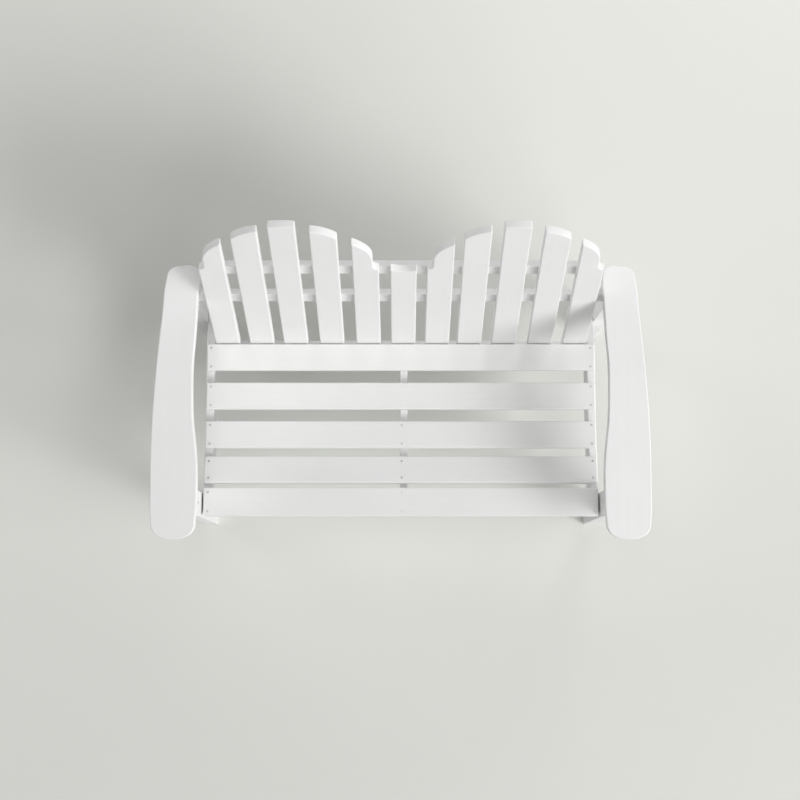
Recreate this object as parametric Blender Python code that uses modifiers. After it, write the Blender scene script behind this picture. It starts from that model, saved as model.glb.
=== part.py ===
"""Adirondack loveseat of painted boards: a garden seat for two, with a back in two arches.

Metres, +Z up. The sitter faces -Y, and left (-X) and right (+X) are as seen from the front.
The side view is set out from the back datum: the line where the front faces of the back
slats reach the height of the seat's rear edge. The origin is on the floor, below the middle
of the seat's outline.
"""

from math import asin, cos, hypot, pi, radians, sin, tan

import bmesh
import bpy
from mathutils import Matrix

# Fits
GAP = 0.0003
CUT_OVERRUN = 0.005

# Seat slats, from the rear one to the front one
SEAT_LENGTH = 1.2192
SEAT_SLAT_WIDTH = 0.0835
FRONT_SLAT_WIDTH = 0.087
SEAT_SLAT_THICKNESS = 0.025
SEAT_REAR_HEIGHT = 0.327
SEAT_BACK_CLEARANCE = 0.0045
SEAT_TILTS = (4, 8, 12, 17, 11)
SEAT_GAP = 0.0385
SEAT_GAP_SHARES = (1, 0.99, 0.714, 0.41)
SEAT_GAP_SLOPES = (6.4, 9.7, 14.3, 22.7)
SEAT_ROUND = 0.0025

# Stringers that carry the seat slats
STRINGER_THICKNESS = 0.026
STRINGER_OVERHANG = 0.0054
STRINGER_DEPTH = 0.09
STRINGER_DEPTH_SHARES = (1, 1, 1, 1.01, 1.09)
STRINGER_NOSE_SHARE = 1.02
STRINGER_NOSE_SETBACK = 0.012
STRINGER_TAIL_SHARE = 0.85
STRINGER_TAIL_SLOPE = 24.5
STRINGER_TAIL_SETBACK = 0.003
CENTER_STRINGER_THICKNESS = 0.0242
CENTER_STRINGER_PLACE = 0.0091

# Legs
LEG_THICKNESS = 0.044
LEG_WIDTH = 0.0767
LEG_RAKE = 7.95
FRONT_LEG_LEAD = 0.0632
REAR_LEG_SET_BACK = 0.0327

# Arms: shares of the length run from the rear end, shares of the width from the inner side
ARM_HEIGHT = 0.55
ARM_THICKNESS = 0.032
ARM_NOSE = 0.0716
ARM_WIDTH = 0.139
ARM_REAR_REACH = 0.218
ARM_OVERHANG = 0.0077
ARM_ROUND = 0.003
ARM_OUTLINE_SHARES = (
    (0.000, 0.312), (0.014, 0.57), (0.048, 0.645), (0.168, 0.731), (0.423, 0.894),
    (0.637, 0.977), (0.823, 1.000), (0.922, 0.998), (0.972, 0.945), (0.994, 0.78),
    (1.000, 0.478), (0.989, 0.201), (0.966, 0.075), (0.925, 0.034), (0.815, 0.000),
    (0.719, 0.002), (0.638, 0.040), (0.560, 0.082), (0.481, 0.092), (0.364, 0.081),
    (0.250, 0.025), (0.109, -0.028), (0.030, -0.046), (0.008, 0.000),
)
BRACKET_HEIGHT = 0.11
BRACKET_REACH = 0.06
BRACKET_NOSE = 0.018
BRACKET_THICKNESS = 0.025

# Back: heights run up the slats from the back datum, and the clearance is that beside the legs
BACK_LEAN = 26
BACK_SIDE_CLEARANCE = 0.0318
BACK_DRIFT_SHARES = (0.011, 0, -0.02, 0.023, 0.076, 0.076, 0.045, -0.026, -0.03, 0.007, 0.015)
BACK_SLAT_WIDTH = 0.076
BACK_SLAT_THICKNESS = 0.025
BACK_DROP = 0.129
CROWN_HEIGHT = 0.665
CROWN_SHARES = (0.995, 1, 0.995)
FLANK_SHARES = (0.9625, 0.9475, 0.9065)
SIDE_ARC_HEIGHT = 0.49
SIDE_ARC_REACH = 0.205
SIDE_ARC_RISE = 0.124
SHOULDER_HEIGHT = 0.4403
SHOULDER_WIDTH = 0.0176
DIP_SHARES = (0.997, 0.977, 0.997)

# Back rails behind the slats
RAIL_HEIGHT = 0.0425
RAIL_THICKNESS = 0.022
UPPER_RAIL_LEVEL = 0.3965
MIDDLE_RAIL_DROP = 0.028
LOWER_RAIL_INSET = 0.012
UPPER_RAIL_INSET = 0.003

BOARD_ROUND = 0.003
ROUND_STEPS = 2
CURVE_STEPS = 7
ARC_STEPS = 12
NOTCH_STEPS = 4

# Screws through the seat slats into the stringers
SCREW_LENGTH = 0.036
SCREW_RADIUS = 0.0021
SCREW_HEAD_RADIUS = 0.0038
SCREW_HEAD_DEPTH = 0.003
SCREW_TIP_LENGTH = 0.005
SCREW_SINK = 0.0004
SCREW_INSET = 0.01225
SCREW_INSET_SHARES = (1, 1, 1, 1.25, 1.14)
SCREW_BACK_CLEARANCE = 0.0021
SCREW_END_INSET = 0.0131
CENTER_SCREW_PLACE = 0.003
SCREW_SIDES = 10

# Sizes that several pieces share
LEG_LEVEL_WIDTH = LEG_WIDTH / cos(radians(LEG_RAKE))
LEG_TOP = ARM_HEIGHT - GAP
STRINGER_OUTER = SEAT_LENGTH / 2 + STRINGER_OVERHANG
STRINGER_INNER = STRINGER_OUTER - STRINGER_THICKNESS
LEG_INNER = STRINGER_OUTER + GAP
LEG_OUTER = LEG_INNER + LEG_THICKNESS

# Outlines are drawn flat, as (x, y), and their boards then stand in the view they were drawn in
PLAN_VIEW = Matrix.Identity(4)
FRONT_VIEW = Matrix(((1, 0, 0, 0), (0, 0, -1, 0), (0, 1, 0, 0), (0, 0, 0, 1)))
SIDE_VIEW = Matrix(((0, 0, 1, 0), (1, 0, 0, 0), (0, 1, 0, 0), (0, 0, 0, 1)))

SIDES = (("left", -1), ("right", 1))


def clear_scene():
    for item in list(bpy.data.objects):
        bpy.data.objects.remove(item, do_unlink=True)


def new_collection(name):
    collection = bpy.data.collections.new(name)
    bpy.context.scene.collection.children.link(collection)
    return collection


def finish(name, color, roughness, metallic=0.0):
    """A Principled finish in one colour."""
    material = bpy.data.materials.new(name)
    material.use_nodes = True
    shader = material.node_tree.nodes["Principled BSDF"]
    shader.inputs["Base Color"].default_value = (*color, 1)
    shader.inputs["Roughness"].default_value = roughness
    shader.inputs["Metallic"].default_value = metallic
    material.diffuse_color = (*color, 1)
    return material


def place(item, parent, location=(0, 0, 0), rotation=(0, 0, 0)):
    item.parent = parent
    item.location = location
    item.rotation_euler = rotation
    return item


def new_empty(name, collection, parent, location, rotation=(0, 0, 0)):
    empty = bpy.data.objects.new(name, None)
    collection.objects.link(empty)
    return place(empty, parent, location, rotation)


def round_edges(item, radius):
    bevel = item.modifiers.new("rounded_edges", 'BEVEL')
    bevel.width = radius
    bevel.segments = ROUND_STEPS
    bevel.limit_method = 'ANGLE'
    bevel.angle_limit = radians(30)


def cut_screw_holes(item, holes):
    cut = item.modifiers.new("screw_holes", 'BOOLEAN')
    cut.operation = 'DIFFERENCE'
    cut.solver = 'EXACT'
    cut.operand_type = 'COLLECTION'
    cut.collection = holes


def corners(points):
    return [(x, y, 'VECTOR') for x, y in points]


def bends(points):
    return [(x, y, 'AUTO') for x, y in points]


def outlined_board(name, collection, outline, thickness, view, material, radius=BOARD_ROUND):
    """A board cut to an outline of (x, y, handle kind), even on both sides of the outline's plane."""
    curve = bpy.data.curves.new(name + "_outline", 'CURVE')
    curve.dimensions = '2D'
    curve.fill_mode = 'BOTH'
    curve.extrude = thickness / 2
    curve.resolution_u = CURVE_STEPS
    spline = curve.splines.new('BEZIER')
    spline.bezier_points.add(len(outline) - 1)
    spline.use_cyclic_u = True
    for point, (x, y, kind) in zip(spline.bezier_points, outline):
        point.co = (x, y, 0)
    for point, (x, y, kind) in zip(spline.bezier_points, outline):
        point.handle_left_type = kind
        point.handle_right_type = kind
    drawing = bpy.data.objects.new(name + "_outline", curve)
    collection.objects.link(drawing)
    depsgraph = bpy.context.evaluated_depsgraph_get()
    mesh = bpy.data.meshes.new_from_object(drawing.evaluated_get(depsgraph))
    board = bpy.data.objects.new(name, mesh)
    board.matrix_world = drawing.matrix_world
    collection.objects.link(board)
    bpy.data.objects.remove(drawing, do_unlink=True)
    bpy.data.curves.remove(curve)
    close_board(mesh)
    mesh.transform(view)
    mesh.name = name
    mesh.materials.clear()
    mesh.materials.append(material)
    round_edges(board, radius)
    return board


def close_board(mesh):
    """Weld the caps to the sides, and make each flat side one face."""
    shell = bmesh.new()
    shell.from_mesh(mesh)
    bmesh.ops.remove_doubles(shell, verts=shell.verts, dist=0.00001)
    bmesh.ops.dissolve_limit(shell, angle_limit=radians(0.2), verts=shell.verts, edges=shell.edges)
    bmesh.ops.recalc_face_normals(shell, faces=shell.faces)
    shell.to_mesh(mesh)
    shell.free()


def straight_board(name, collection, size, material, radius=BOARD_ROUND):
    """A board with square ends: size is (along X, along Y, along Z)."""
    mesh = bpy.data.meshes.new(name)
    block = bmesh.new()
    bmesh.ops.create_cube(block, size=1)
    bmesh.ops.scale(block, vec=size, verts=block.verts)
    block.to_mesh(mesh)
    block.free()
    mesh.materials.append(material)
    board = bpy.data.objects.new(name, mesh)
    collection.objects.link(board)
    round_edges(board, radius)
    return board


def arc_through(start, crown, end):
    """Points on the circle through three points whose crown is midway between the ends in x."""
    (x0, y0), (x1, y1), (x2, y2) = start, crown, end
    turn = 2 * (x0 * (y1 - y2) + x1 * (y2 - y0) + x2 * (y0 - y1))
    square0, square1, square2 = hypot(x0, y0) ** 2, hypot(x1, y1) ** 2, hypot(x2, y2) ** 2
    center_x = (square0 * (y1 - y2) + square1 * (y2 - y0) + square2 * (y0 - y1)) / turn
    center_y = (square0 * (x2 - x1) + square1 * (x0 - x2) + square2 * (x1 - x0)) / turn
    radius = hypot(x0 - center_x, y0 - center_y)
    side = 1 if y1 > center_y else -1
    points = []
    for step in range(ARC_STEPS + 1):
        x = x0 + (x2 - x0) * step / ARC_STEPS
        points.append((x, center_y + side * (radius ** 2 - (x - center_x) ** 2) ** 0.5))
    return points


def side_arc():
    """The end of an arch on a side slat: an elliptical arc that turns down into the notch."""
    outer = BACK_SLAT_WIDTH / 2 - SHOULDER_WIDTH
    center = outer - SIDE_ARC_REACH
    start = asin((-BACK_SLAT_WIDTH / 2 - center) / SIDE_ARC_REACH)
    points = []
    for step in range(ARC_STEPS + 1):
        angle = start + (pi / 2 - start) * step / ARC_STEPS
        x = center + SIDE_ARC_REACH * sin(angle)
        points.append((x, SIDE_ARC_HEIGHT + SIDE_ARC_RISE * cos(angle)))
    return points


def notch():
    """The hollow quarter circle between the end of an arch and the slat's shoulder."""
    edge = BACK_SLAT_WIDTH / 2
    points = []
    for step in range(NOTCH_STEPS + 1):
        angle = pi / 2 * step / NOTCH_STEPS
        x = edge - SHOULDER_WIDTH * cos(angle)
        points.append((x, SHOULDER_HEIGHT + SHOULDER_WIDTH * (1 - sin(angle))))
    return points


def slat_top(kind):
    """The top of a back slat, from its -x edge to its +x edge."""
    edge = BACK_SLAT_WIDTH / 2
    if kind == "side":
        return side_arc() + notch()
    height, shares = {"crown": (CROWN_HEIGHT, CROWN_SHARES), "flank": (CROWN_HEIGHT, FLANK_SHARES),
                      "center": (SHOULDER_HEIGHT, DIP_SHARES)}[kind]
    start, crown, end = [height * share for share in shares]
    return arc_through((-edge, start), (0, crown), (edge, end))


def back_slats(collection, back, material):
    """Eleven parallel slats: two arches of five, with a low slat between them."""
    arch = (("side", -1), ("flank", -1), ("crown", 1), ("flank", 1), ("side", 1))
    kinds = arch + (("center", 1),) + arch
    middle = (len(kinds) - 1) / 2
    edge = BACK_SLAT_WIDTH / 2
    pitch = (LEG_INNER - BACK_SIDE_CLEARANCE - edge) / middle
    slats = []
    for index, ((kind, hand), drift) in enumerate(zip(kinds, BACK_DRIFT_SHARES)):
        outline = [(-edge, -BACK_DROP)] + slat_top(kind) + [(edge, -BACK_DROP)]
        outline = corners((hand * x, y) for x, y in outline)
        slat = outlined_board(f"back_slat_{index + 1:02d}", collection, outline,
                              BACK_SLAT_THICKNESS, FRONT_VIEW, material)
        place(slat, back, (pitch * (index - middle + drift), BACK_SLAT_THICKNESS / 2, 0))
        slats.append(slat)
    return slats


def back_rails(collection, back, slats, material):
    """Three rails across the rear faces of the slats, up to legs, stringers and outer slats."""
    reach = min(-slats[0].location.x, slats[-1].location.x) + BACK_SLAT_WIDTH / 2
    lean = radians(BACK_LEAN)
    depth = BACK_SLAT_THICKNESS + GAP + RAIL_THICKNESS / 2
    middle_height = ARM_HEIGHT - MIDDLE_RAIL_DROP - SEAT_REAR_HEIGHT
    middle_level = (middle_height + depth * sin(lean)) / cos(lean)
    rails = (
        ("back_rail_upper", UPPER_RAIL_LEVEL, reach - UPPER_RAIL_INSET),
        ("back_rail_middle", middle_level, LEG_INNER - GAP),
        ("back_rail_lower", LOWER_RAIL_INSET + RAIL_HEIGHT / 2 - BACK_DROP, STRINGER_INNER - GAP),
    )
    for name, level, half_length in rails:
        rail = straight_board(name, collection, (2 * half_length, RAIL_THICKNESS, RAIL_HEIGHT), material)
        place(rail, back, (0, depth, level))


def seat_stations():
    """Rear top corner (y, z), tilt and width of each seat slat, and how far its rear end is mitred."""
    y, z = -SEAT_BACK_CLEARANCE, SEAT_REAR_HEIGHT
    last = len(SEAT_TILTS) - 1
    stations = []
    for index, degrees in enumerate(SEAT_TILTS):
        tilt = radians(degrees)
        width = FRONT_SLAT_WIDTH if index == last else SEAT_SLAT_WIDTH
        mitre = SEAT_SLAT_THICKNESS * tan(radians(BACK_LEAN) - tilt) if index == 0 else 0
        stations.append((y, z, tilt, width, mitre))
        if index < last:
            gap = SEAT_GAP * SEAT_GAP_SHARES[index]
            y -= width * cos(tilt) + gap
            z += width * sin(tilt) + gap * tan(radians(SEAT_GAP_SLOPES[index]))
    return stations


def front_leg_line():
    """The y of the front legs' front corners on the floor, ahead of the front slat."""
    y, z, tilt, width, mitre = seat_stations()[-1]
    return y - width * cos(tilt) - FRONT_LEG_LEAD


def under_slat(station, forward):
    """The point of the stringers' top that lies below a slat, so far forward of its rear corner."""
    y, z, tilt, width, mitre = station
    drop = SEAT_SLAT_THICKNESS + GAP
    return (y - forward * cos(tilt) - drop * sin(tilt), z + forward * sin(tilt) - drop * cos(tilt))


def seat_slats(collection, seat, holes, material):
    slats = []
    for index, (y, z, tilt, width, mitre) in enumerate(seat_stations()):
        below = -SEAT_SLAT_THICKNESS
        outline = corners([(0, 0), (-width, 0), (-width, below), (-mitre, below)])
        slat = outlined_board(f"seat_slat_{index + 1}", collection, outline,
                              SEAT_LENGTH, SIDE_VIEW, material, SEAT_ROUND)
        place(slat, seat, (0, y, z), (-tilt, 0, 0))
        cut_screw_holes(slat, holes)
        slats.append(slat)
    return slats


def stringer_outline():
    """Side view of a stringer: flats below the slats, a sloping tail and a curved lower edge."""
    stations = seat_stations()
    rake = tan(radians(LEG_RAKE))
    slope = tan(radians(STRINGER_TAIL_SLOPE))
    front = stations[-1]
    nose_y, nose_z = under_slat(front, front[3] - STRINGER_NOSE_SETBACK)
    nose_drop = STRINGER_DEPTH * STRINGER_NOSE_SHARE
    top = []
    for station in stations:
        top += [under_slat(station, station[4]), under_slat(station, station[3])]
    top[-1] = (nose_y, nose_z)
    seat_y, seat_z = top[0]
    leg_line = REAR_LEG_SET_BACK + LEG_LEVEL_WIDTH - STRINGER_TAIL_SETBACK
    tail_y = (leg_line + (seat_z + seat_y * slope) * rake) / (1 + slope * rake)
    tail_z = seat_z - (tail_y - seat_y) * slope
    tail_drop = STRINGER_DEPTH * STRINGER_TAIL_SHARE
    lower = []
    for station, share in zip(stations, STRINGER_DEPTH_SHARES):
        y, z = under_slat(station, station[3] / 2)
        lower.append((y, z - STRINGER_DEPTH * share))
    ends = corners([(tail_y, tail_z), (tail_y - tail_drop * rake, tail_z - tail_drop)])
    nose = corners([(nose_y - nose_drop * rake, nose_z - nose_drop)])
    return ends + bends(lower) + nose + corners(reversed(top))


def stringers(collection, cutters, seat, back, holes, material):
    """Two outer stringers that run back to the rear legs, and one that stops at the centre slat."""
    outline = stringer_outline()
    for side, hand in SIDES:
        stringer = outlined_board(f"stringer_{side}", collection, outline,
                                  STRINGER_THICKNESS, SIDE_VIEW, material)
        place(stringer, seat, (hand * (STRINGER_OUTER - STRINGER_THICKNESS / 2), 0, 0))
        cut_screw_holes(stringer, holes)
    stringer = outlined_board("stringer_center", collection, outline,
                              CENTER_STRINGER_THICKNESS, SIDE_VIEW, material)
    place(stringer, seat, (CENTER_STRINGER_PLACE, 0, 0))
    cut_screw_holes(stringer, holes)
    depth = BACK_DROP + REAR_LEG_SET_BACK + LEG_LEVEL_WIDTH
    waste = straight_board("behind_the_back", cutters,
                           (CENTER_STRINGER_THICKNESS + 2 * CUT_OVERRUN, depth, 2 * depth), material)
    waste.modifiers.clear()
    waste.display_type = 'WIRE'
    waste.hide_render = True
    place(waste, back, (CENTER_STRINGER_PLACE, depth / 2 - GAP, 0))
    cut = stringer.modifiers.new("end_at_the_back", 'BOOLEAN')
    cut.operation = 'DIFFERENCE'
    cut.solver = 'EXACT'
    cut.object = waste


def legs(collection, seat, material):
    """Four raked legs, bolted outside the outer stringers and cut level at both ends."""
    lean = LEG_TOP * tan(radians(LEG_RAKE))
    outline = corners([(0, 0), (LEG_LEVEL_WIDTH, 0), (LEG_LEVEL_WIDTH + lean, LEG_TOP), (lean, LEG_TOP)])
    for end, y in (("front", front_leg_line()), ("rear", REAR_LEG_SET_BACK)):
        for side, hand in SIDES:
            leg = outlined_board(f"{end}_leg_{side}", collection, outline, LEG_THICKNESS, SIDE_VIEW, material)
            place(leg, seat, (hand * (LEG_INNER + LEG_THICKNESS / 2), y, 0))


def arms(collection, seat, material):
    """Wide arms that rest on the tops of the legs."""
    length = ARM_REAR_REACH + ARM_NOSE - front_leg_line() - LEG_TOP * tan(radians(LEG_RAKE))
    for side, hand in SIDES:
        outline = bends((hand * ARM_WIDTH * across, -length * along)
                        for along, across in ARM_OUTLINE_SHARES)
        arm = outlined_board(f"arm_{side}", collection, outline,
                             ARM_THICKNESS, PLAN_VIEW, material, ARM_ROUND)
        place(arm, seat, (hand * (LEG_INNER - ARM_OVERHANG), ARM_REAR_REACH, ARM_HEIGHT + ARM_THICKNESS / 2))


def arm_brackets(collection, seat, material):
    """A bracket below each arm, on the middle of the front leg's outer face."""
    middle_height = LEG_TOP - BRACKET_HEIGHT / 2
    y = front_leg_line() + LEG_LEVEL_WIDTH / 2 + middle_height * tan(radians(LEG_RAKE))
    shape = ((0, 0), (0, -BRACKET_HEIGHT), (BRACKET_NOSE, -BRACKET_HEIGHT),
             (BRACKET_REACH, -BRACKET_NOSE), (BRACKET_REACH, 0))
    for side, hand in SIDES:
        outline = corners((hand * x, z) for x, z in shape)
        bracket = outlined_board(f"arm_bracket_{side}", collection, outline,
                                 BRACKET_THICKNESS, FRONT_VIEW, material)
        place(bracket, seat, (hand * (LEG_OUTER + GAP), y, LEG_TOP))


def turned_profile(name, points):
    """The outer side of a turned piece, from the top down, as a line of (radius, height) points."""
    mesh = bpy.data.meshes.new(name)
    line = bmesh.new()
    verts = [line.verts.new((radius, 0, height)) for radius, height in points]
    for upper, lower in zip(verts, verts[1:]):
        line.edges.new((upper, lower))
    line.to_mesh(mesh)
    line.free()
    return mesh


def turn(name, collection, mesh):
    item = bpy.data.objects.new(name, mesh)
    collection.objects.link(item)
    screw = item.modifiers.new("turned", 'SCREW')
    screw.steps = SCREW_SIDES
    screw.render_steps = SCREW_SIDES
    screw.use_merge_vertices = True
    screw.merge_threshold = 0.00001
    return item


def screw_rows(station, inset):
    """How far forward of a slat's rear corner its two rows of screws stand."""
    y, z, tilt, width, mitre = station
    rear = inset
    if mitre:
        shank = SCREW_LENGTH - SCREW_TIP_LENGTH
        rear = shank * tan(radians(BACK_LEAN) - tilt) - SEAT_BACK_CLEARANCE
        rear += SCREW_RADIUS + SCREW_BACK_CLEARANCE
    return width - inset, rear


def seat_screws(collection, holes, slats, material):
    """Two screws in each seat slat at each stringer, and the holes that they leave in the boards."""
    screw_mesh = turned_profile("seat_screw", (
        (0, 0), (SCREW_HEAD_RADIUS, 0), (SCREW_RADIUS, -SCREW_HEAD_DEPTH),
        (SCREW_RADIUS, SCREW_TIP_LENGTH - SCREW_LENGTH), (0, -SCREW_LENGTH)))
    screw_mesh.materials.append(material)
    hole_mesh = turned_profile("screw_hole", (
        (0, CUT_OVERRUN), (SCREW_HEAD_RADIUS + GAP, CUT_OVERRUN), (SCREW_HEAD_RADIUS + GAP, -GAP),
        (SCREW_RADIUS + GAP, -SCREW_HEAD_DEPTH - GAP),
        (SCREW_RADIUS + GAP, SCREW_TIP_LENGTH - SCREW_LENGTH - GAP), (0, -SCREW_LENGTH - 2 * GAP)))
    outer = SEAT_LENGTH / 2 - SCREW_END_INSET
    number = 0
    for slat, share, station in zip(slats, SCREW_INSET_SHARES, seat_stations()):
        rows = screw_rows(station, SCREW_INSET * share)
        for across in (-outer, CENTER_SCREW_PLACE, outer):
            for forward in rows:
                number += 1
                location = (across, -forward, -SCREW_SINK)
                place(turn(f"seat_screw_{number:02d}", collection, screw_mesh), slat, location)
                hole = turn(f"screw_hole_{number:02d}", holes, hole_mesh)
                place(hole, slat, location)
                hole.display_type = 'WIRE'
                hole.hide_render = True


def main():
    clear_scene()
    loveseat = new_collection("adirondack_loveseat")
    cutters = new_collection("cutters")
    holes = bpy.data.collections.new("screw_holes")
    cutters.children.link(holes)

    white = (0.80, 0.80, 0.78)
    rear = CROWN_HEIGHT * sin(radians(BACK_LEAN)) + BACK_SLAT_THICKNESS * cos(radians(BACK_LEAN))
    middle = (rear + front_leg_line()) / 2
    seat = new_empty("seat_datum", loveseat, None, (0, -middle, 0))
    back = new_empty("back_datum", loveseat, seat, (0, 0, SEAT_REAR_HEIGHT), (-radians(BACK_LEAN), 0, 0))

    slats = back_slats(loveseat, back, finish("back_slat_paint", white, 0.45))
    back_rails(loveseat, back, slats, finish("back_rail_paint", white, 0.5))
    boards = seat_slats(loveseat, seat, holes, finish("seat_slat_paint", white, 0.42))
    stringers(loveseat, cutters, seat, back, holes, finish("stringer_paint", white, 0.5))
    legs(loveseat, seat, finish("leg_paint", white, 0.48))
    arms(loveseat, seat, finish("arm_paint", white, 0.4))
    arm_brackets(loveseat, seat, finish("bracket_paint", white, 0.5))
    seat_screws(loveseat, holes, boards, finish("screw_steel", (0.5, 0.5, 0.5), 0.4, 1.0))


main()
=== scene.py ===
"""Looks of a white adirondack loveseat: painted boards, steel screws and bolts, and a plain studio.

Left and right are as seen from the front, and the sitter faces -Y.
"""

from math import cos, pi, radians, sin

import bmesh
import bpy
from bpy.props import FloatProperty, FloatVectorProperty, IntProperty, PointerProperty
from mathutils import Matrix, Vector


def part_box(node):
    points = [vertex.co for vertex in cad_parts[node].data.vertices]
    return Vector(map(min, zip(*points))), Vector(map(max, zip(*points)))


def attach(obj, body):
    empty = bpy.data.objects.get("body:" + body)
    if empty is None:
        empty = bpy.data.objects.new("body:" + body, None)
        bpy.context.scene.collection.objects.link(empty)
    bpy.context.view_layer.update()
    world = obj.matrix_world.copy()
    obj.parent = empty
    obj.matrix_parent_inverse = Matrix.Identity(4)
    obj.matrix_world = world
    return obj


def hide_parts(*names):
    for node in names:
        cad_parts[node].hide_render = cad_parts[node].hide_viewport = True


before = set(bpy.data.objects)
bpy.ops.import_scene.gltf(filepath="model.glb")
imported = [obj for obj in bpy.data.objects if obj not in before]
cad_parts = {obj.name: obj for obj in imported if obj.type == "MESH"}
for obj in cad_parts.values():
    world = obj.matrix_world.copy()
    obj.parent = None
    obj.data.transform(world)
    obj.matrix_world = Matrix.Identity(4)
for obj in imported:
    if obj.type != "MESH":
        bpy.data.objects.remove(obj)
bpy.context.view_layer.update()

bl_info = {
    "name": "Adirondack Loveseat",
    "version": (1, 0, 0),
    "blender": (4, 5, 0),
    "location": "3D View > Sidebar > Loveseat",
    "description": "Painted boards, screws and bolts of a garden loveseat, with its studio",
    "category": "Object",
}

PICTURE_SIDE = 800
SENSOR_WIDTH = 36

BACK_LEAN = radians(26)
LEG_RAKE = radians(7.95)
SEAT_SLOPE = radians(10)
UP_THE_BACK = Vector((0, sin(BACK_LEAN), cos(BACK_LEAN)))
BEHIND_THE_BACK = Vector((0, cos(BACK_LEAN), -sin(BACK_LEAN)))
SIDES = (("left", -1), ("right", 1))
UP = Vector((0, 0, 1))
DOWN = Vector((0, 0, -1))

# Noise of the marks in the paint: its scale, detail and roughness
STROKES = (1.0, 3, 0.6)
RIDGES = (1.0, 2, 0.5)
PEEL = (850, 2, 0.5)
CLOUDS = (4.5, 3, 0.55)
PORES = (420, 3, 0.7)
NOISE_MIDDLE = 0.5
# Scales along a board and across it, of marks that run along it
STROKE_STRETCH = (9, 260, 260)
RIDGE_STRETCH = (3, 70, 70)
# Where a face starts to count as a board's cut end, and where it does in full
END_GRAIN = (0.8, 0.97)
# How much each mark shades the paint, how high it stands, and how far the gloss and shade stray
SHADE = {"clouds": 1.1, "strokes": 0.5, "ridges": 0.5, "pores": 1.6}
HEIGHT = {"strokes": 0.55, "ridges": 0.6, "peel": 0.25, "pores": 1.8}
GLOSS_CHANGE = 0.12
PAINT_CONTRAST = 0.6

# Marks in the steel: their noise, and what they do to its shade, gloss and height
SPOTS = (600, 3, 0.65)
GRAIN = (2600, 2, 0.5)
GRAIN_SHADE = 0.4
STEEL_CONTRAST = 0.3
STEEL_DARK = 0.85
STEEL_LIGHT = 1.12
SPOT_GLOSS = 0.25
SPOT_HEIGHT = 0.5

# Edges that bend less than this look smooth
SMOOTH_ANGLE = radians(35)
# Least cosine between a face's normal and the direction that it is said to look in
LEVEL = 0.95
# Corners further from a screw's tip than this share of its length are on its head's rim
RIM_SHARE = 0.99
PLACE_DIGITS = 6

# Recess: lobes, how far they stand out, and the width of its floor as a share of its mouth
LOBES = 6
LOBE_DEPTH = 0.14
RECESS_FLOOR = 0.8
# Shares of a head's radius or height: recess, rim, and the rise and width of each step of a crown
FLAT_RECESS = 0.48
FLAT_RECESS_DEPTH = 0.6
PAN_RECESS = 0.42
PAN_RECESS_DEPTH = 0.55
PAN_RIM = 0.97
PAN_RIM_HEIGHT = 0.45
PAN_CROWN = ((0.35, 0.86), (0.2, 0.78))
DOME_RIM = 0.96
DOME_RIM_HEIGHT = 0.3
DOME_RISE = 0.7
DOME_STEPS = 5
NECK_INSET = 0.5
# Shares of a washer's or a nut's radius or height, with the bolt's end as a rod in the nut
WASHER_RIM = 0.97
WASHER_SEAT = 1.02
NUT_SIDES = 6
NUT_CHAMFER = 0.1
CHAMFER_STEPS = 2
ROD = 0.5
ROD_END = 0.44
ROD_LENGTH = 0.6
ROD_RISE = 0.05

# Bolts of the legs, as places across the depth and above the floor
BOLTS = {
    "front": ((-0.3895, 0.356), (-0.3545, 0.317)),
    "rear": ((0.2325, 0.238), (0.2595, 0.201)),
}

# Far lamps: name, azimuth from +X, elevation and width in degrees, and share of the light
SUNS = (
    ("key_lamp", 330, 30, 28, 0.403),
    ("right_lamp", 0, 30, 16, 0.114),
    ("front_lamp", 300, 30, 28, 0.157),
    ("high_front_lamp", 300, 60, 16, 0.047),
    ("wide_lamp", 270, 70, 100, 0.189),
    ("top_lamp", 120, 80, 28, 0.116),
    ("rear_lamp", 150, 10, 28, 0.312),
)
# Near lamps: name, azimuth from +X, distance, height and diameter in metres, and power in watts
PANELS = (
    ("high_panel", 337, 7, 5, 3.5, 198.3),
    ("rear_panel", 67, 4.5, 1.5, 2.25, 58.9),
)
SUN_DISTANCE = 6
LAMP_TARGET = Vector((0, 0, 0.3))

FLOOR_SIDES = 96
FLOOR_RADIUS = 40
# Noise of the floor's faint clouds, how far they stray from its colour, and its roughness
FLOOR_CLOUDS = (2.0, 4, 0.5)
FLOOR_VARIATION = 0.003
FLOOR_ROUGHNESS = 0.9


# Shaders

class Value:
    """A socket in an expression: an operator adds its Math node."""

    def __init__(self, finish, socket):
        self.finish = finish
        self.socket = socket

    def __add__(self, other):
        return self.finish.math('ADD', self, other)

    def __sub__(self, other):
        return self.finish.math('SUBTRACT', self, other)

    def __rsub__(self, other):
        return self.finish.math('SUBTRACT', other, self)

    def __mul__(self, other):
        return self.finish.math('MULTIPLY', self, other)

    def __abs__(self):
        return self.finish.math('ABSOLUTE', self)

    __radd__ = __add__
    __rmul__ = __mul__


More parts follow.
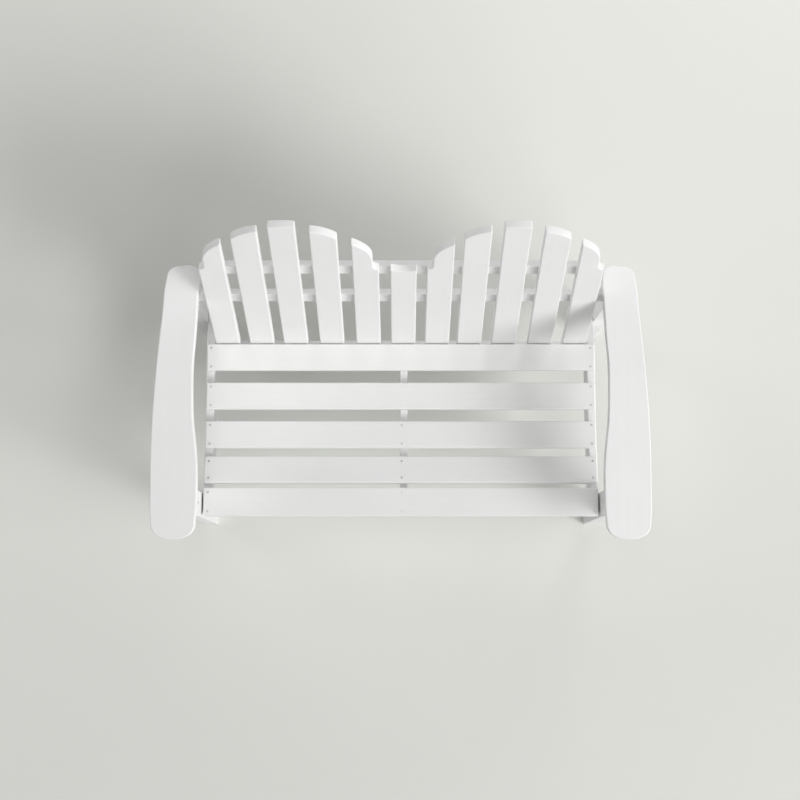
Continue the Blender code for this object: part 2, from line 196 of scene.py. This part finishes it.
class Nodes:
    """The nodes of a material or a world."""

    def __init__(self, owner):
        owner.use_nodes = True
        self.owner = owner
        self.tree = owner.node_tree
        self.tree.nodes.clear()

    def node(self, kind, settings, sockets):
        """A node of a kind, with its settings, and the values or links of its sockets."""
        node = self.tree.nodes.new(kind)
        for name, value in settings.items():
            setattr(node, name, value)
        for name, value in sockets.items():
            if isinstance(value, Value):
                self.tree.links.new(value.socket, node.inputs[name])
            else:
                node.inputs[name].default_value = value
        return node

    def out(self, node, name):
        return Value(self, node.outputs[name])

    def math(self, operation, first, second=0.0):
        node = self.node('ShaderNodeMath', {"operation": operation}, {0: first, 1: second})
        return self.out(node, "Value")

    def object_point(self):
        return self.out(self.node('ShaderNodeTexCoord', {}, {}), "Object")

    def seen(self):
        """1 where the camera or a mirror looks, and 0 for light that only passes on."""
        path = self.node('ShaderNodeLightPath', {}, {})
        return self.math('MAXIMUM', self.out(path, "Is Camera Ray"), self.out(path, "Is Glossy Ray"))

    def mapped(self, point, turn, scale):
        """A point turned, so that its X runs along a board, and then scaled."""
        turned = self.node('ShaderNodeMapping', {"vector_type": 'POINT'},
                           {"Vector": point, "Rotation": turn})
        scaled = self.node('ShaderNodeMapping', {"vector_type": 'POINT'},
                           {"Vector": self.out(turned, "Vector"), "Scale": scale})
        return self.out(scaled, "Vector")

    def noise(self, point, scale, detail, roughness):
        """Noise about zero, from -0.5 to 0.5."""
        node = self.node('ShaderNodeTexNoise', {},
                         {"Vector": point, "Scale": scale, "Detail": detail, "Roughness": roughness})
        return self.out(node, "Fac") - NOISE_MIDDLE

    def smooth(self, value, low, high):
        """0 below low and 1 above high, with a smooth step between them."""
        node = self.node('ShaderNodeMapRange', {"interpolation_type": 'SMOOTHSTEP'},
                         {"Value": value, "From Min": low, "From Max": high})
        return self.out(node, "Result")

    def mix(self, factor, first, second):
        node = self.node('ShaderNodeMix', {"data_type": 'RGBA'},
                         {"Factor": factor, "A": first, "B": second})
        return Value(self, node.outputs["Result"])

    def along(self, direction):
        """How far a face points along a direction or against it, from 0 to 1."""
        geometry = self.node('ShaderNodeNewGeometry', {}, {})
        node = self.node('ShaderNodeVectorMath', {"operation": 'DOT_PRODUCT'},
                         {0: self.out(geometry, "Normal"), 1: tuple(direction)})
        return abs(self.out(node, "Value"))

    def bump(self, height, distance):
        node = self.node('ShaderNodeBump', {},
                         {"Height": height, "Distance": distance, "Strength": 1.0})
        return self.out(node, "Normal")

    def principled(self, **sockets):
        names = {name.replace("_", " ").title().replace("Ior", "IOR"): value
                 for name, value in sockets.items()}
        shader = self.node('ShaderNodeBsdfPrincipled', {}, names)
        self.node('ShaderNodeOutputMaterial', {}, {"Surface": self.out(shader, "BSDF")})
        return self.owner


def rgba(color, share=1.0):
    return (*(channel * share for channel in color), 1.0)


def board_paint(name, run, paint):
    """Satin paint on boards that run in one direction: brush marks, fine peel and bare-looking ends."""
    finish = Nodes(bpy.data.materials.new(name))
    point = finish.object_point()
    turn = Vector(run).rotation_difference(Vector((1, 0, 0))).to_euler()
    strokes = finish.noise(finish.mapped(point, turn, STROKE_STRETCH), *STROKES)
    ridges = finish.noise(finish.mapped(point, turn, RIDGE_STRETCH), *RIDGES)
    peel = finish.noise(point, *PEEL)
    clouds = finish.noise(point, *CLOUDS)
    pores = finish.noise(point, *PORES)
    ends = finish.smooth(finish.along(run), *END_GRAIN)

    shade = (clouds * SHADE["clouds"] + strokes * SHADE["strokes"] + ridges * SHADE["ridges"]
             + ends * pores * SHADE["pores"])
    tone = finish.smooth(shade, -PAINT_CONTRAST, PAINT_CONTRAST)
    dark = rgba(paint.color, 1 - paint.variation)
    color = finish.mix(tone, dark, rgba(paint.color, 1 + paint.variation))
    height = (strokes * HEIGHT["strokes"] + ridges * HEIGHT["ridges"] + peel * HEIGHT["peel"]
              + ends * pores * HEIGHT["pores"])
    gloss = paint.roughness + clouds * GLOSS_CHANGE + strokes * GLOSS_CHANGE + ends * GLOSS_CHANGE
    return finish.principled(base_color=color, roughness=gloss,
                             normal=finish.bump(height, paint.relief))


def screw_steel(name, metal):
    """Dull steel with fine turning marks and a few darker spots."""
    finish = Nodes(bpy.data.materials.new(name))
    point = finish.object_point()
    spots = finish.noise(point, *SPOTS)
    grain = finish.noise(point, *GRAIN)
    tone = finish.smooth(spots + grain * GRAIN_SHADE, -STEEL_CONTRAST, STEEL_CONTRAST)
    color = finish.mix(tone, rgba(metal.color, STEEL_DARK), rgba(metal.color, STEEL_LIGHT))
    gloss = metal.roughness + spots * SPOT_GLOSS
    return finish.principled(base_color=color, metallic=1.0, roughness=gloss,
                             normal=finish.bump(grain + spots * SPOT_HEIGHT, metal.relief))


# Meshes

def new_piece(name, mesh, finish):
    """A piece of the loveseat, with its place in its mesh."""
    piece = bpy.data.objects.new(name, mesh)
    bpy.context.scene.collection.objects.link(piece)
    piece.data.materials.append(finish)
    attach(piece, "root")
    return piece


def to_mesh(shape, name):
    """A mesh with smooth faces and sharp edges, in place of a shape."""
    bmesh.ops.recalc_face_normals(shape, faces=shape.faces)
    for face in shape.faces:
        face.smooth = True
    for edge in shape.edges:
        edge.smooth = edge.is_manifold and edge.calc_face_angle(0) < SMOOTH_ANGLE
    mesh = bpy.data.meshes.new(name)
    shape.to_mesh(mesh)
    shape.free()
    return mesh


def facing(shape, direction):
    """The face that points most nearly along a direction and lies furthest along it."""
    level = [face for face in shape.faces if face.normal.dot(direction) > LEVEL]
    return max(level, key=lambda face: face.calc_center_median().dot(direction))


def push(shape, face, move, scale=1.0):
    """Extrude a face, and give the new one."""
    grown = bmesh.ops.extrude_discrete_faces(shape, faces=[face])["faces"][0]
    to_center = Matrix.Translation(-grown.calc_center_median())
    bmesh.ops.scale(shape, vec=(scale, scale, scale), space=to_center, verts=grown.verts)
    bmesh.ops.translate(shape, vec=move, verts=grown.verts)
    return grown


def inset(shape, face, width):
    bmesh.ops.inset_individual(shape, faces=[face], thickness=width, use_even_offset=False)


def star_recess(shape, face, radius, depth):
    """Sink a six-lobed recess into a round face that looks up."""
    center = face.calc_center_median()
    size = max((vert.co - center).length for vert in face.verts)
    inset(shape, face, size - radius)
    for vert in face.verts:
        arm = vert.co - center
        lobe = 1 + LOBE_DEPTH * cos(LOBES * Vector((1, 0)).angle_signed(arm.to_2d(), 0.0))
        vert.co = center + arm.normalized() * radius * lobe
    push(shape, face, (0, 0, -depth), RECESS_FLOOR)


def add_cone(shape, sides, lower, upper, height, middle_height):
    """Add a closed round taper with its axis on z, and give its corners."""
    cone = bmesh.ops.create_cone(shape, cap_ends=True, segments=sides, radius1=lower, radius2=upper,
                                 depth=height, matrix=Matrix.Translation((0, 0, middle_height)))
    return cone["verts"]


def turned(sides, lower, upper, height):
    """A closed round taper that stands on z = 0."""
    shape = bmesh.new()
    add_cone(shape, sides, lower, upper, height, height / 2)
    shape.normal_update()
    return shape


def flat_screw(metal):
    """A countersunk screw whose head is flush with z = 0 and whose tip is below."""
    shape = turned(metal.sides, metal.shank, metal.flat_head, metal.flat_depth)
    bmesh.ops.translate(shape, vec=(0, 0, -metal.flat_depth), verts=shape.verts)
    tip = push(shape, facing(shape, DOWN), (0, 0, metal.tip + metal.flat_depth - metal.length))
    end = push(shape, tip, (0, 0, -metal.tip))
    bmesh.ops.pointmerge(shape, verts=end.verts, merge_co=end.calc_center_median())
    shape.normal_update()
    star_recess(shape, facing(shape, UP), metal.flat_head * FLAT_RECESS,
                metal.flat_depth * FLAT_RECESS_DEPTH)
    return shape


def pan_screw(metal):
    """A screw with a low domed head that stands on z = 0."""
    radius, height = metal.pan_head, metal.pan_height
    shape = turned(metal.sides, radius, radius * PAN_RIM, height * PAN_RIM_HEIGHT)
    crown = facing(shape, UP)
    for rise, scale in PAN_CROWN:
        crown = push(shape, crown, (0, 0, height * rise), scale)
        shape.normal_update()
    shank = facing(shape, DOWN)
    inset(shape, shank, radius - metal.shank)
    push(shape, shank, (0, 0, -metal.pan_shank))
    shape.normal_update()
    star_recess(shape, facing(shape, UP), radius * PAN_RECESS, height * PAN_RECESS_DEPTH)
    return shape


def dome_bolt(metal):
    """A carriage bolt: a smooth dome that stands on z = 0, and a short neck below it."""
    radius, height = metal.dome, metal.dome_height
    shape = turned(metal.sides, radius, radius * DOME_RIM, height * DOME_RIM_HEIGHT)
    face = facing(shape, UP)
    last = DOME_RIM
    for step in range(1, DOME_STEPS):
        angle = step / DOME_STEPS * pi / 2
        share = DOME_RIM * cos(angle)
        rise = sin(angle) - sin((step - 1) / DOME_STEPS * pi / 2)
        face = push(shape, face, (0, 0, height * DOME_RISE * rise), share / last)
        last = share
    neck = facing(shape, DOWN)
    inset(shape, neck, radius * NECK_INSET)
    push(shape, neck, (0, 0, -metal.dome_height))
    return shape


def hex_nut(metal):
    """A washer on z = 0 with a chamfered nut on it, and the end of the bolt in the nut."""
    washer = turned(metal.sides, metal.washer, metal.washer * WASHER_RIM, metal.washer_height)
    inset(washer, facing(washer, UP), metal.washer - metal.nut * WASHER_SEAT)
    nut = add_cone(washer, NUT_SIDES, metal.nut, metal.nut, metal.nut_height,
                   metal.washer_height + metal.nut_height / 2)
    edges = dict.fromkeys(edge for vert in nut for edge in vert.link_edges)
    rims = [edge for edge in edges
            if abs(edge.verts[0].co.z - edge.verts[1].co.z) < metal.nut_height / 2]
    bmesh.ops.bevel(washer, geom=rims, offset=metal.nut * NUT_CHAMFER, affect='EDGES',
                    segments=CHAMFER_STEPS, profile=0.5, material=-1)
    rod = add_cone(washer, metal.sides, metal.nut * ROD, metal.nut * ROD_END,
                   metal.nut_height * ROD_LENGTH, metal.washer_height + metal.nut_height)
    bmesh.ops.translate(washer, vec=(0, 0, metal.nut_height * ROD_RISE), verts=rod)
    return washer


def set_down(shape, spots):
    """Copies of a shape, each with its z along a direction at a place."""
    original = list(shape.faces)
    for place, direction in spots:
        copy = bmesh.ops.duplicate(shape, geom=original)["geom"]
        verts = [item for item in copy if isinstance(item, bmesh.types.BMVert)]
        turn = UP.rotation_difference(Vector(direction)).to_matrix().to_4x4()
        bmesh.ops.transform(shape, matrix=Matrix.Translation(place) @ turn, verts=verts)
    bmesh.ops.delete(shape, geom=original, context='FACES')
    return shape


# Places on the frame

def boards(prefix):
    """The names of the nodes of one kind, in order."""
    return sorted(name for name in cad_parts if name.startswith(prefix))


def middle(node):
    low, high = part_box(node)
    return (low + high) / 2


def reach(node, direction):
    """How far a node reaches along a direction."""
    return max(vert.co.dot(direction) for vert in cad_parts[node].data.vertices)


def on_face(node, point, direction):
    """The point moved along a direction onto the plane of a node's face."""
    direction = Vector(direction)
    return point + direction * (reach(node, direction) - point.dot(direction))


def screw_axis(node):
    """The middle of a screw's head, and the direction that the head looks in."""
    points = [vert.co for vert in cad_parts[node].data.vertices]
    tip = min(points, key=lambda point: point.z)
    length = max((point - tip).length for point in points)
    rim = {tuple(round(value, PLACE_DIGITS) for value in point)
           for point in points if (point - tip).length > length * RIM_SHARE}
    head = sum((Vector(point) for point in rim), Vector()) / len(rim)
    return head, (head - tip).normalized()


# Settings

class PaintSettings(bpy.types.PropertyGroup):
    color: FloatVectorProperty(
        name="Colour", description="Colour of the paint", subtype='COLOR', size=3,
        default=(0.82, 0.82, 0.815), min=0, max=1)
    variation: FloatProperty(
        name="Variation", description="How far the shade strays from the colour", subtype='FACTOR',
        default=0.025, min=0, max=0.2)
    roughness: FloatProperty(
        name="Roughness", description="Roughness of the satin paint", subtype='FACTOR',
        default=0.42, min=0, max=1)
    relief: FloatProperty(
        name="Relief", description="Depth of the brush marks", unit='LENGTH', default=0.00012,
        min=0, max=0.002, precision=5)


class MetalSettings(bpy.types.PropertyGroup):
    color: FloatVectorProperty(
        name="Colour", description="Colour of the steel", subtype='COLOR', size=3,
        default=(0.58, 0.58, 0.58), min=0, max=1)
    roughness: FloatProperty(
        name="Roughness", description="Roughness of the steel", subtype='FACTOR', default=0.36,
        min=0, max=1)
    relief: FloatProperty(
        name="Relief", description="Depth of the marks in the steel", unit='LENGTH', default=0.00004,
        min=0, max=0.001, precision=5)
    sides: IntProperty(name="Sides", description="Sides of a round part", default=24, min=12, max=48)
    length: FloatProperty(
        name="Seat Screw Length", description="From the head to the tip", unit='LENGTH', default=0.036,
        precision=4)
    tip: FloatProperty(
        name="Tip", description="Length of the pointed end", unit='LENGTH', default=0.005, precision=4)
    shank: FloatProperty(
        name="Shank", description="Radius of a screw's shank", unit='LENGTH', default=0.0021,
        precision=4)
    flat_head: FloatProperty(
        name="Seat Screw Head", description="Radius of a flush head", unit='LENGTH', default=0.0038,
        precision=4)
    flat_depth: FloatProperty(
        name="Seat Screw Taper", description="Depth of a flush head", unit='LENGTH', default=0.003,
        precision=4)
    pan_head: FloatProperty(
        name="Rail Screw Head", description="Radius of a domed head", unit='LENGTH', default=0.0048,
        precision=4)
    pan_height: FloatProperty(
        name="Rail Screw Height", description="Height of a domed head", unit='LENGTH', default=0.0024,
        precision=4)
    pan_shank: FloatProperty(
        name="Rail Screw Shank", description="Length of the shank in the rail", unit='LENGTH',
        default=0.006, precision=4)
    pair_spacing: FloatProperty(
        name="Pair Spacing", description="Distance between the two screws in a slat", unit='LENGTH',
        default=0.04, precision=4)
    dome: FloatProperty(
        name="Bolt Head", description="Radius of a bolt's domed head", unit='LENGTH', default=0.0095,
        precision=4)
    dome_height: FloatProperty(
        name="Bolt Head Height", description="Height of a bolt's domed head", unit='LENGTH',
        default=0.0042, precision=4)
    washer: FloatProperty(
        name="Washer", description="Radius of a washer", unit='LENGTH', default=0.0105, precision=4)
    washer_height: FloatProperty(
        name="Washer Thickness", description="Thickness of a washer", unit='LENGTH', default=0.0016,
        precision=4)
    nut: FloatProperty(
        name="Nut", description="Radius of a nut across its corners", unit='LENGTH', default=0.0074,
        precision=4)
    nut_height: FloatProperty(
        name="Nut Height", description="Height of a nut", unit='LENGTH', default=0.0062, precision=4)


class StudioSettings(bpy.types.PropertyGroup):
    floor: FloatVectorProperty(
        name="Floor", description="Colour of the floor", subtype='COLOR', size=3,
        default=(0.722, 0.73, 0.689), min=0, max=1)
    bounce: FloatProperty(
        name="Bounce", description="Grey of the light that the floor throws up", subtype='FACTOR',
        default=0.705, min=0, max=1)
    backdrop: FloatVectorProperty(
        name="Backdrop", description="Colour behind the floor", subtype='COLOR', size=3,
        default=(0.534, 0.54, 0.51), min=0, max=1)
    light: FloatProperty(name="Light", description="Strength of all lamps", default=1.01, min=0)
    camera_height: FloatProperty(
        name="Camera Height", description="Height of the camera above the floor", unit='LENGTH',
        default=4.9)
    camera_place: FloatProperty(
        name="Camera Place", description="How far forward of the middle the camera is", unit='LENGTH',
        default=0.03785, precision=5)
    focal_length: FloatProperty(
        name="Focal Length", description="In pixels of the picture", default=1452)
    shift: FloatProperty(
        name="Shift", description="How far the picture's middle is from the lens axis, in pixels",
        default=-0.7)


# Painted boards

class PaintedBoards:
    """Paint every node of one kind."""

    finish_name = "board_paint"
    prefixes = ()
    run = (1, 0, 0)

    def execute(self, context):
        finish = board_paint(self.finish_name, self.run, context.scene.loveseat_paint)
        for prefix in self.prefixes:
            for name in boards(prefix):
                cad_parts[name].data.materials.clear()
                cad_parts[name].data.materials.append(finish)
        return {'FINISHED'}


class LOVESEAT_OT_back_slats(PaintedBoards, bpy.types.Operator):
    """Paint the back slats"""

    bl_idname = "loveseat.back_slats"
    bl_label = "Back Slats"
    finish_name = "back_slat_paint"
    prefixes = ("back_slat_",)
    run = tuple(UP_THE_BACK)


class LOVESEAT_OT_back_rails(PaintedBoards, bpy.types.Operator):
    """Paint the rails behind the back slats"""

    bl_idname = "loveseat.back_rails"
    bl_label = "Back Rails"
    finish_name = "back_rail_paint"
    prefixes = ("back_rail_",)


class LOVESEAT_OT_seat_slats(PaintedBoards, bpy.types.Operator):
    """Paint the seat slats"""

    bl_idname = "loveseat.seat_slats"
    bl_label = "Seat Slats"
    finish_name = "seat_slat_paint"
    prefixes = ("seat_slat_",)


class LOVESEAT_OT_stringers(PaintedBoards, bpy.types.Operator):
    """Paint the stringers below the seat slats"""

    bl_idname = "loveseat.stringers"
    bl_label = "Stringers"
    finish_name = "stringer_paint"
    prefixes = ("stringer_",)
    run = (0, -cos(SEAT_SLOPE), sin(SEAT_SLOPE))


class LOVESEAT_OT_legs(PaintedBoards, bpy.types.Operator):
    """Paint the four legs and the brackets on them"""

    bl_idname = "loveseat.legs"
    bl_label = "Legs"
    finish_name = "leg_paint"
    prefixes = ("front_leg_", "rear_leg_", "arm_bracket_")
    run = (0, sin(LEG_RAKE), cos(LEG_RAKE))


class LOVESEAT_OT_arms(PaintedBoards, bpy.types.Operator):
    """Paint the arms"""

    bl_idname = "loveseat.arms"
    bl_label = "Arms"
    finish_name = "arm_paint"
    prefixes = ("arm_left", "arm_right")
    run = (0, 1, 0)


# Screws and bolts

class LOVESEAT_OT_seat_screws(bpy.types.Operator):
    """Put screws with recessed heads in the seat slats"""

    bl_idname = "loveseat.seat_screws"
    bl_label = "Seat Screws"

    def execute(self, context):
        metal = context.scene.loveseat_metal
        finish = screw_steel("seat_screw_steel", metal)
        for node in boards("seat_screw_"):
            name = node.replace("seat_screw", "slat_screw")
            mesh = to_mesh(set_down(flat_screw(metal), [screw_axis(node)]), name)
            piece = new_piece(name, mesh, finish)
            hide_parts(node)
        return {'FINISHED'}


class LOVESEAT_OT_rail_screws(bpy.types.Operator):
    """Screw the back slats to the rails, from behind"""

    bl_idname = "loveseat.rail_screws"
    bl_label = "Rail Screws"

    def execute(self, context):
        metal = context.scene.loveseat_metal
        finish = screw_steel("rail_screw_steel", metal)
        for rail in boards("back_rail_"):
            place = on_face(rail, middle(rail), BEHIND_THE_BACK)
            spots = []
            for slat in boards("back_slat_"):
                for hand in (-1, 1):
                    x = middle(slat).x + hand * metal.pair_spacing / 2
                    spots.append((Vector((x, place.y, place.z)), BEHIND_THE_BACK))
            mesh = to_mesh(set_down(pan_screw(metal), spots), rail + "_screws")
            new_piece(rail + "_screws", mesh, finish)
        return {'FINISHED'}


class LOVESEAT_OT_end_screws(bpy.types.Operator):
    """Screw the rails' ends and the arm brackets through legs and stringers"""

    bl_idname = "loveseat.end_screws"
    bl_label = "End Screws"

    def execute(self, context):
        metal = context.scene.loveseat_metal
        finish = screw_steel("end_screw_steel", metal)
        for side, hand in SIDES:
            outward = Vector((hand, 0, 0))
            rail_end = on_face("rear_leg_" + side, middle("back_rail_middle"), outward)
            lower_end = on_face("stringer_" + side, middle("back_rail_lower"), outward)
            bracket = on_face("front_leg_" + side, middle("arm_bracket_" + side), -outward)
            spots = [(rail_end, outward), (bracket, -outward)]
            for step in (-1, 1):
                spots.append((lower_end + UP_THE_BACK * step * metal.pair_spacing / 4, outward))
            mesh = to_mesh(set_down(pan_screw(metal), spots), "end_screws_" + side)
            new_piece("end_screws_" + side, mesh, finish)
        return {'FINISHED'}


class LOVESEAT_OT_leg_bolts(bpy.types.Operator):
    """Bolt the legs to the outer stringers"""

    bl_idname = "loveseat.leg_bolts"
    bl_label = "Leg Bolts"

    def execute(self, context):
        metal = context.scene.loveseat_metal
        finish = screw_steel("bolt_steel", metal)
        for end, bolts in BOLTS.items():
            for side, hand in SIDES:
                outward = Vector((hand, 0, 0))
                leg, stringer = f"{end}_leg_{side}", "stringer_" + side
                heads = [(on_face(leg, Vector((0, y, z)), outward), outward) for y, z in bolts]
                nuts = [(on_face(stringer, Vector((0, y, z)), -outward), -outward) for y, z in bolts]
                for name, shape, spots in ((leg + "_bolts", dome_bolt(metal), heads),
                                           (leg + "_nuts", hex_nut(metal), nuts)):
                    new_piece(name, to_mesh(set_down(shape, spots), name), finish)
        return {'FINISHED'}


# Studio

def lamp_direction(azimuth, elevation):
    """The direction from the loveseat to a lamp, from angles in degrees."""
    turn, rise = radians(azimuth), radians(elevation)
    return Vector((cos(turn) * cos(rise), sin(turn) * cos(rise), sin(rise)))


class LOVESEAT_OT_studio(bpy.types.Operator):
    """Set up the floor, the lamps, the backdrop and the camera"""

    bl_idname = "loveseat.studio"
    bl_label = "Studio"

    def execute(self, context):
        studio = context.scene.loveseat_studio
        self.lay_floor(studio)
        self.hang_lamps(studio)
        self.light_sky(studio)
        self.place_camera(context, studio)
        context.scene.view_settings.view_transform = 'Standard'
        return {'FINISHED'}

    def lay_floor(self, studio):
        shape = bmesh.new()
        bmesh.ops.create_circle(shape, cap_ends=True, segments=FLOOR_SIDES, radius=FLOOR_RADIUS)
        mesh = bpy.data.meshes.new("floor")
        shape.to_mesh(mesh)
        shape.free()
        floor = bpy.data.objects.new("floor", mesh)
        bpy.context.scene.collection.objects.link(floor)
        finish = Nodes(bpy.data.materials.new("floor_finish"))
        clouds = finish.noise(finish.object_point(), *FLOOR_CLOUDS)
        tone = finish.smooth(clouds, -NOISE_MIDDLE, NOISE_MIDDLE)
        dark = rgba(studio.floor, 1 - FLOOR_VARIATION)
        tint = finish.mix(tone, dark, rgba(studio.floor, 1 + FLOOR_VARIATION))
        color = finish.mix(finish.seen(), rgba((studio.bounce,) * 3), tint)
        mesh.materials.append(finish.principled(base_color=color, roughness=FLOOR_ROUGHNESS,
                                                specular_ior_level=0.0))

    def hang_lamps(self, studio):
        for name, azimuth, elevation, spread, strength in SUNS:
            lamp = bpy.data.lights.new(name, 'SUN')
            lamp.angle = radians(spread)
            lamp.energy = pi * strength * studio.light
            self.hang(lamp, LAMP_TARGET + lamp_direction(azimuth, elevation) * SUN_DISTANCE)
        for name, azimuth, distance, height, size, power in PANELS:
            lamp = bpy.data.lights.new(name, 'AREA')
            lamp.shape = 'DISK'
            lamp.size = size
            lamp.energy = power * studio.light
            place = lamp_direction(azimuth, 0) * distance + Vector((0, 0, height))
            self.hang(lamp, place).visible_camera = False

    def hang(self, lamp, place):
        item = bpy.data.objects.new(lamp.name, lamp)
        item.location = place
        item.rotation_euler = (place - LAMP_TARGET).to_track_quat('Z', 'Y').to_euler()
        bpy.context.scene.collection.objects.link(item)
        return item

    def light_sky(self, studio):
        """A backdrop in the floor's lit colour, which gives no light of its own."""
        world = bpy.data.worlds.new("sky")
        sky = Nodes(world)
        backdrop = sky.node('ShaderNodeBackground', {},
                            {"Color": rgba(studio.backdrop), "Strength": sky.seen()})
        sky.node('ShaderNodeOutputWorld', {}, {"Surface": sky.out(backdrop, "Background")})
        bpy.context.scene.world = world

    def place_camera(self, context, studio):
        camera = bpy.data.cameras.new("camera")
        camera.sensor_width = SENSOR_WIDTH
        camera.lens = studio.focal_length * SENSOR_WIDTH / PICTURE_SIDE
        camera.shift_x = studio.shift / PICTURE_SIDE
        item = bpy.data.objects.new("camera", camera)
        item.location = (0, -studio.camera_place, studio.camera_height)
        bpy.context.scene.collection.objects.link(item)
        context.scene.camera = item


class LOVESEAT_PT_panel(bpy.types.Panel):
    """The loveseat's pieces and settings"""

    bl_idname = "LOVESEAT_PT_panel"
    bl_label = "Adirondack Loveseat"
    bl_space_type = 'VIEW_3D'
    bl_region_type = 'UI'
    bl_category = "Loveseat"

    def draw(self, context):
        layout = self.layout
        for operator in OPERATORS:
            layout.operator(operator.bl_idname)
        for settings in (context.scene.loveseat_paint, context.scene.loveseat_metal,
                         context.scene.loveseat_studio):
            box = layout.box()
            for name in settings.__annotations__:
                box.prop(settings, name)


SETTINGS = (
    ("loveseat_paint", PaintSettings),
    ("loveseat_metal", MetalSettings),
    ("loveseat_studio", StudioSettings),
)
OPERATORS = (
    LOVESEAT_OT_studio,
    LOVESEAT_OT_back_slats,
    LOVESEAT_OT_back_rails,
    LOVESEAT_OT_seat_slats,
    LOVESEAT_OT_stringers,
    LOVESEAT_OT_legs,
    LOVESEAT_OT_arms,
    LOVESEAT_OT_seat_screws,
    LOVESEAT_OT_rail_screws,
    LOVESEAT_OT_end_screws,
    LOVESEAT_OT_leg_bolts,
)
CLASSES = tuple(settings for name, settings in SETTINGS) + OPERATORS + (LOVESEAT_PT_panel,)


def register():
    for item in CLASSES:
        bpy.utils.register_class(item)
    for name, settings in SETTINGS:
        setattr(bpy.types.Scene, name, PointerProperty(type=settings))


def unregister():
    for name, settings in SETTINGS:
        delattr(bpy.types.Scene, name)
    for item in reversed(CLASSES):
        bpy.utils.unregister_class(item)


def main():
    register()
    for operator in OPERATORS:
        group, name = operator.bl_idname.split(".")
        getattr(getattr(bpy.ops, group), name)()
    bpy.context.view_layer.update()


if __name__ == "__main__":
    main()
